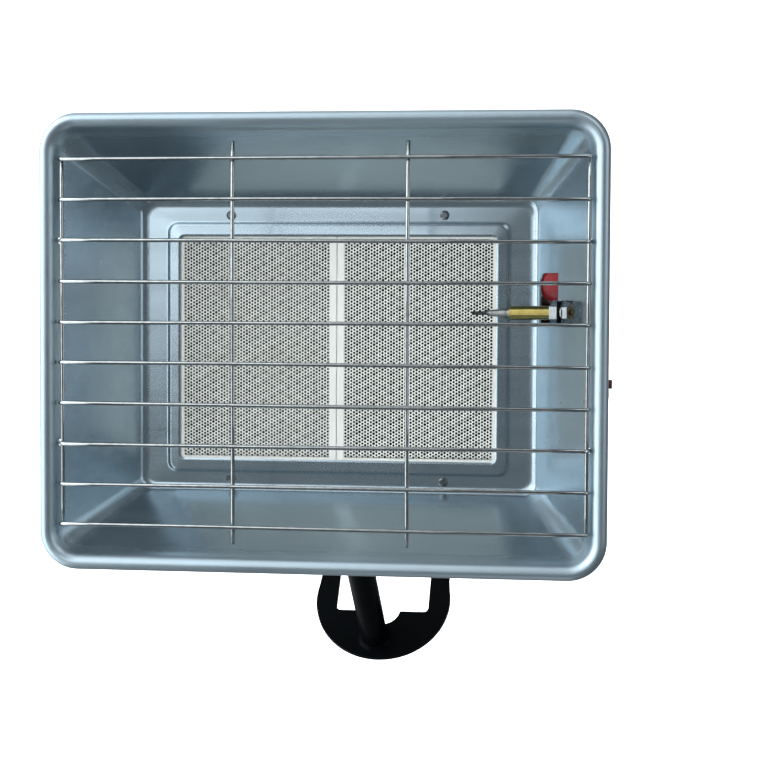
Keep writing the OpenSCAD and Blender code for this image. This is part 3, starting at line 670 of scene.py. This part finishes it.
def raw(name, verts, faces):
    me = bpy.data.meshes.new(name)
    me.from_pydata([tuple(D(*v)) for v in verts], [], faces)
    bm = bmesh.new()
    bm.from_mesh(me)
    bmesh.ops.recalc_face_normals(bm, faces=bm.faces)
    bm.to_mesh(me)
    bm.free()
    o = bpy.data.objects.new(name, me)
    bpy.context.scene.collection.objects.link(o)
    return o


def cyl(a, b, r, n=20, name="cut"):
    a, b = Vector(a), Vector(b)
    ax = (b - a).normalized()
    u = ax.orthogonal().normalized()
    w = ax.cross(u)
    verts = []
    for q in (a, b):
        for i in range(n):
            t = 2 * math.pi * i / n
            verts.append(tuple(q + u * r * math.cos(t) + w * r * math.sin(t)))
    faces = [tuple(range(n)), tuple(range(2 * n - 1, n - 1, -1))] + [(i, i + n, (i + 1) % n + n, (i + 1) % n) for i in range(n)]
    return raw(name, verts, faces)


def cut(o, cutters):
    for c in cutters:
        b = o.modifiers.new("cut", "BOOLEAN")
        b.operation = "DIFFERENCE"
        b.solver = "EXACT"
        b.object = c
    apply_mods(o)
    for c in cutters:
        me = c.data
        bpy.data.objects.remove(c)
        bpy.data.meshes.remove(me)


dish = build_reflector()
SW, SV, TW, TV = (34, 52), (11.5, 39), 20.9, (11, 24)
PITCH = 22.15
HOLE_W = 5.1
SC = [(-60.7, 75), (60.7, 75), (-60.7, -74.6), (60.7, -74.6)]


def window_prism():
    """The switch window: straight sides, the upper deep corner cut round."""
    v0, v1 = SV
    out = []
    lo, hi = SW
    outline = [(lo, v0), (lo, v1), (hi - 4.5, v1), (hi - 2.4, v1 - 1.0), (hi - .9, v1 - 2.8), (hi, v1 - 5.5), (hi, v0)]
    inner = [(wallx(w) - 6, v, w) for w, v in outline]
    outer = [(wallx(w) + 12, v, w) for w, v in outline]
    n = len(outline)
    faces = [tuple(range(n)), tuple(range(2 * n - 1, n - 1, -1))] + [(i, i + n, (i + 1) % n + n, (i + 1) % n) for i in range(n)]
    return raw("cut", inner + outer, faces)


cuts = [window_prism(),
        prism([(wallx(TW) - 6, TW), (wallx(TW) + 12, TW), (wallx(SW[1]) + 8, SW[1] - 2), (wallx(SW[1]) - 6, SW[1] - 2)], TV[0], TV[1])]
for s_ in (-1, 1):
    for z_ in (-1, 1):
        cuts.append(cyl((s_ * 139, z_ * 2.5 * PITCH, HOLE_W), (s_ * 153, z_ * 2.5 * PITCH, HOLE_W), 1.8))
for x_, v_ in SC:
    cuts.append(cyl((WX + x_, WV + v_, FW - 4), (WX + x_, WV + v_, FW + 4), 1.7))
cut(dish, cuts)
sharp(dish, 40)
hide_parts("reflector")


# ------------------------------------------------------------------ guard
def tube(name, pts, r, mat, body, n=12, slot=None, caps=True, radii=None):
    """Round tube through dish-frame points."""
    P = [Vector(q) for q in pts]
    verts, faces = [], []
    prev = None
    for i, q in enumerate(P):
        d = (P[min(i + 1, len(P) - 1)] - P[max(i - 1, 0)]).normalized()
        if prev is None:
            u = d.orthogonal().normalized()
        else:
            u = (prev - d * prev.dot(d)).normalized()
        prev = u
        w = d.cross(u)
        rr = radii[i] if radii else r
        for k in range(n):
            t = 2 * math.pi * k / n
            verts.append(tuple(q + u * rr * math.cos(t) + w * rr * math.sin(t)))
    for i in range(len(P) - 1):
        for k in range(n):
            a, b = i * n + k, i * n + (k + 1) % n
            faces.append((a, b, b + n, a + n))
    if caps:
        faces.append(tuple(range(n - 1, -1, -1)))
        m0 = (len(P) - 1) * n
        faces.append(tuple(range(m0, m0 + n)))
    return verts, faces


def join(name, parts, mat, body):
    V, Fc = [], []
    for v, f in parts:
        k = len(V)
        V += v
        Fc += [tuple(i + k for i in q) for q in f]
    return make(name, V, Fc, mat, body)


WD = 2.2
GW = 2.0


def gbow(x, y):
    return GW + 0.9 * (1 - (x / 150) ** 2) * (1 - (y / 140) ** 2)


def smooth_path(pts, k=5):
    P = [pts[0]] + list(pts) + [pts[-1]]
    out = []
    for i in range(1, len(P) - 2):
        for j in range(k):
            out.append(tuple(catmull(P[i - 1], P[i], P[i + 1], P[i + 2], j / k)))
    out.append(tuple(pts[-1]))
    return out


def build_guard():
    parts = []
    for i in range(10):
        y = (4.5 - i) * PITCH
        long = i in (2, 7)
        mid = [(x, y + 0.25 * math.sin(i * 1.7 + x * .011), -gbow(x, y)) for x in np.linspace(-141, 142.5, 15)]
        if long:
            a = [(-151.4, y, HOLE_W + .7), (-148.6, y, HOLE_W + .6), (-146.2, y, HOLE_W + .2), (-144.3, y, HOLE_W - .7), (-143.1, y, 1.6), (-142.4, y, -1.1)]
            b = [(143.4, y, -1.1), (143.7, y, 1.6), (144.7, y, HOLE_W - .7), (146.4, y, HOLE_W + .2), (148.8, y, HOLE_W + .6), (151.4, y, HOLE_W + .7)]
        else:
            a = [(-144.1, y, 2.6), (-143.7, y, 1.0), (-142.9, y, -.7)]
            b = [(144.0, y, -1.1), (144.7, y, .2), (144.7, y, 1.6)]
        parts.append(tube("w", a + mid + b, WD / 2, "chrome", "head"))
    for x in (-142, -47, 48, 144):
        h = 100.8 if abs(x) > 100 else 108.8
        pts = [(x + 0.2 * math.sin(y * .02 + x), y, -(gbow(x, y) - WD * .84)) for y in np.linspace(-h, h, 15)]
        parts.append(tube("w", pts, WD / 2, "chrome", "head"))
    # weld beads where the wires cross
    for i in range(10):
        y = (4.5 - i) * PITCH
        for x in (-142, -47, 48, 144):
            q = (x, y, -(gbow(x, y) - WD * .42))
            parts.append(ball(q, 1.25))
    g = join("wire_guard_wires", parts, "chrome", "head")
    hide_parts("wire_guard")
    return g


def ball(q, r, n=8, m_=5):
    verts, faces = [], []
    for j in range(m_ + 1):
        ph = math.pi * j / m_
        for i in range(n):
            t = 2 * math.pi * i / n
            verts.append((q[0] + r * math.sin(ph) * math.cos(t), q[1] + r * math.sin(ph) * math.sin(t), q[2] + r * math.cos(ph)))
    for j in range(m_):
        for i in range(n):
            a, b = j * n + i, j * n + (i + 1) % n
            if j == 0:
                faces.append((a, b + n, a + n))
            elif j == m_ - 1:
                faces.append((a, b, a + n))
            else:
                faces.append((a, b, b + n, a + n))
    return verts, faces


build_guard()


# ------------------------------------------------------------------ switch cover
def wallout(w):
    return wallx(w) + T / math.cos(math.atan(K0)) + .05


def plate(t, o):
    """Point (x, w) on the carrier plate, o outside it."""
    a = math.radians(20)
    return 129.2 + math.sin(a) * t + o * math.cos(a), 24 + math.cos(a) * t - o * math.sin(a)


def build_cover():
    """Red box behind the side window; what shows in the window is a round-nosed bulge that falls away downwards."""
    def recess(v, w):
        depth = plate((w - 24) / math.cos(math.radians(20)), -.9)[0] - wallout(w) - .5
        if v > 33:
            r = 0.0
        else:
            q = min(1, (33 - v) / 13.0)
            r = 13.0 * (1 - math.sqrt(max(0, 1 - q * q)))
        if v < 6:
            r *= max(0, (v - 2) / 4)
        if w > 38:                  # the hanging weight needs its room behind
            room = max(1.0, 123.4 - wallout(w) - .5)
            r = min(r, room + max(0, 44 - w) * 2)
        return max(0, min(r, depth - 2.0))

    sv_ = list(np.linspace(-25.6, 2, 6)) + list(np.linspace(3, 12, 8)) + list(np.linspace(12.6, 33, 36)) + [34.5, 36.5, 38.5, 40.0]
    ws = [34.8] + list(np.linspace(35.6, 53.8, 16)) + [54.5]
    verts, rings = [], []
    for k, v in enumerate([sv_[0]] + sv_ + [sv_[-1]]):
        edge = k == 0 or k == len(sv_) + 1
        vv = v + (-.35 if k == 0 else .9 if k == len(sv_) + 1 else 0)
        e = .5 if edge else 0.02
        ring_ = [(wallout(w) + .5 + e + recess(v, w), vv, min(max(w, 34.62 + e), 69.9)) for w in ws]
        ring_ += [(wallout(54.6) + .5 + e + recess(v, 54.6), vv, 56.5), (wallout(54.6) + .5 + e + min(recess(v, 54.6), 6), vv, 62), (wallout(54.6) + .5 + e, vv, 69.9 - e)]
        a, b = plate(48.5, -.92 - e), plate(11.4 + e, -.92 - e)
        ring_ += [(a[0], vv, min(a[1], 69.9)), (plate(30, -.92 - e)[0], vv, plate(30, -.92 - e)[1]), (b[0], vv, max(b[1], 34.62))]
        rings.append(len(verts))
        verts += ring_
    n = len(ring_)
    faces = [(j * n + i, j * n + (i + 1) % n, (j + 1) * n + (i + 1) % n, (j + 1) * n + i) for j in range(len(rings) - 1) for i in range(n)]
    faces += [tuple(range(n)), tuple(range(rings[-1] + n - 1, rings[-1] - 1, -1))]
    # the cover's red material has painted shade towards its foot
    o = make("tip_switch_cover", verts, faces, "cover", "head")
    bm = bmesh.new()
    bm.from_mesh(o.data)
    bmesh.ops.recalc_face_normals(bm, faces=bm.faces)
    bm.to_mesh(o.data)
    bm.free()
    sharp(o, 38)
    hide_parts("tip_switch_housing")
    return o


build_cover()

# ------------------------------------------------------------------ plaques
BP = FW - BH + T + 0.2          # front face of the plaques
PVT, NCOL, NROW = 1.86, 52, 66
PHC = PVT * math.sqrt(3) / 2


def build_plaque(name, side, node):
    x0 = WX + side * (46 + .15)
    y0 = WV
    hr = 0.69
    depth = 10.0
    V, Fc, key, holes = [], [], {}, set()

    def height(x, y):
        """Dimples on a coarser lattice of the same kind: every third hole."""
        p3 = PVT * 3
        c = x / (p3 * math.sqrt(3) / 2)
        best = 9
        for ci in (math.floor(c), math.floor(c) + 1):
            yy = y - (p3 / 2 if ci % 2 else 0)
            ri = round(yy / p3)
            dx, dy = x - ci * p3 * math.sqrt(3) / 2, yy - ri * p3
            best = min(best, math.hypot(dx, dy))
        t = max(0.0, 1 - best / 2.75)
        return 0.95 * t * t * (3 - 2 * t)

    def vert(x, y, z):
        k = (round(x * 500), round(y * 500), round(z * 500))
        if k not in key:
            key[k] = len(V)
            V.append((x0 + x, y0 + y, BP + 0.012 + z))
        return key[k]

    R = PVT / math.sqrt(3)          # hexagon corner radius, corners along x
    for c in range(NCOL):
        for r in range(NROW):
            x = (c - (NCOL - 1) / 2) * PHC
            y = (r - (NROW - 1) / 2) * PVT + (PVT / 4 if c % 2 else -PVT / 4)
            jx, jy = (rng.random(2) - .5) * 0.05
            h = hr * (1 + (rng.random() - .5) * 0.10)
            dc = height(x, y)
            if dc > 0.5:
                h *= 1.12
            outer, inner = [], []
            for k in range(12):
                t = math.pi / 6 * k
                rad = R if k % 2 == 0 else R * math.cos(math.pi / 6)
                ox, oy = x + rad * math.cos(t), y + rad * math.sin(t)
                outer.append(vert(ox, oy, height(ox, oy)))
                ix, iy = x + jx + h * math.cos(t), y + jy + h * math.sin(t)
                V.append((x0 + ix, y0 + iy, BP + 0.012 + height(ix, iy) * .9 + dc * .1))
                inner.append(len(V) - 1)
            V.append((x0 + x, y0 + y, BP + depth))
            tip = len(V) - 1
            for k in range(12):
                k2 = (k + 1) % 12
                Fc.append((outer[k], outer[k2], inner[k2], inner[k]))
                holes.add(len(Fc))
                Fc.append((inner[k], inner[k2], tip))
    # plain margin, sides and back
    ex = (NCOL - 1) / 2 * PHC + 0.95
    ey = (NROW - 1) / 2 * PVT + PVT / 4 + 0.95

    def loop(hx, hy, z, r, n=4):
        pts = []
        for q in range(4):
            sx, sy = ((1, 1), (-1, 1), (-1, -1), (1, -1))[q]
            for i in range(n + 1):
                t = math.radians(90 * q + 90 * i / n)
                pts.append((x0 + sx * (hx - r) + r * math.cos(t), y0 + sy * (hy - r) + r * math.sin(t), z))
        return pts

    loops = [loop(ex - .3, ey - .3, BP + 1.6, .3), loop(ex, ey, BP + .05, .5), loop(ex + .12, ey + .12, BP, .55), loop(45.6, 65.6, BP, .9),
             loop(45.9, 65.9, BP + .12, 1.1), loop(46, 66, BP + .5, 1.2), loop(46, 66, BP + 13, 1.2)]
    base = len(V)
    n = len(loops[0])
    for lp in loops:
        V += lp
    for j in range(len(loops) - 1):
        for i in range(n):
            a, b = base + j * n + i, base + j * n + (i + 1) % n
            Fc.append((a, b, b + n, a + n))
    last = base + (len(loops) - 1) * n
    Fc.append(tuple(range(last, last + n)))
    o = make(name, V, Fc, "ceramic", "head", smooth=False)
    # the hole walls take the hole material with painted shade in depth and painted light towards the left
    o.data.materials.append(M["hole"])
    for f in o.data.polygons:
        if f.index in holes:
            f.material_index = 1
    bm = bmesh.new()
    bm.from_mesh(o.data)
    bmesh.ops.recalc_face_normals(bm, faces=bm.faces)
    bm.to_mesh(o.data)
    bm.free()
    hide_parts(node)
    return o


build_plaque("ceramic_plaque_left", -1, "plaque_left")
build_plaque("ceramic_plaque_right", 1, "plaque_right")

# ------------------------------------------------------------------ CAD nodes: softened edges
BEVEL = {"fork_plate": .5, "post_head": .4, "tilt_bracket": .5, "wing_nut": .4, "clamp_nut": .3, "thermocouple_nuts": .3, "flare_nuts": .3, "valve_body": .8,
         "injector_holder": .5, "tip_switch_lid": .4, "gas_knob": .3, "safety_button": .3, "inlet_nipple": .2, "magnet_unit": .25,
         "pivot_bolt": .3, "pivot_washers": .2, "clamp_screw": .4, "clamp_pad": .3, "thermocouple_bracket": .2, "valve_bracket": .3, "burner_box": .25,
         "thermocouple_sleeve": .25, "post_tube": .2, "box_screws": .12, "bracket_screws": .12, "switch_screws": .12, "switch_gland": .3}
for n, w_ in BEVEL.items():
    o = nodes[n]
    b = o.modifiers.new("soft", "BEVEL")
    b.width = w_ * .001
    b.segments = 2
    b.limit_method = "ANGLE"
    b.angle_limit = math.radians(38)
    b.harden_normals = True
for n, o in nodes.items():
    if o.hide_render:
        continue
    o.data.shade_smooth()
    o.data.set_sharp_from_angle(angle=math.radians(32))
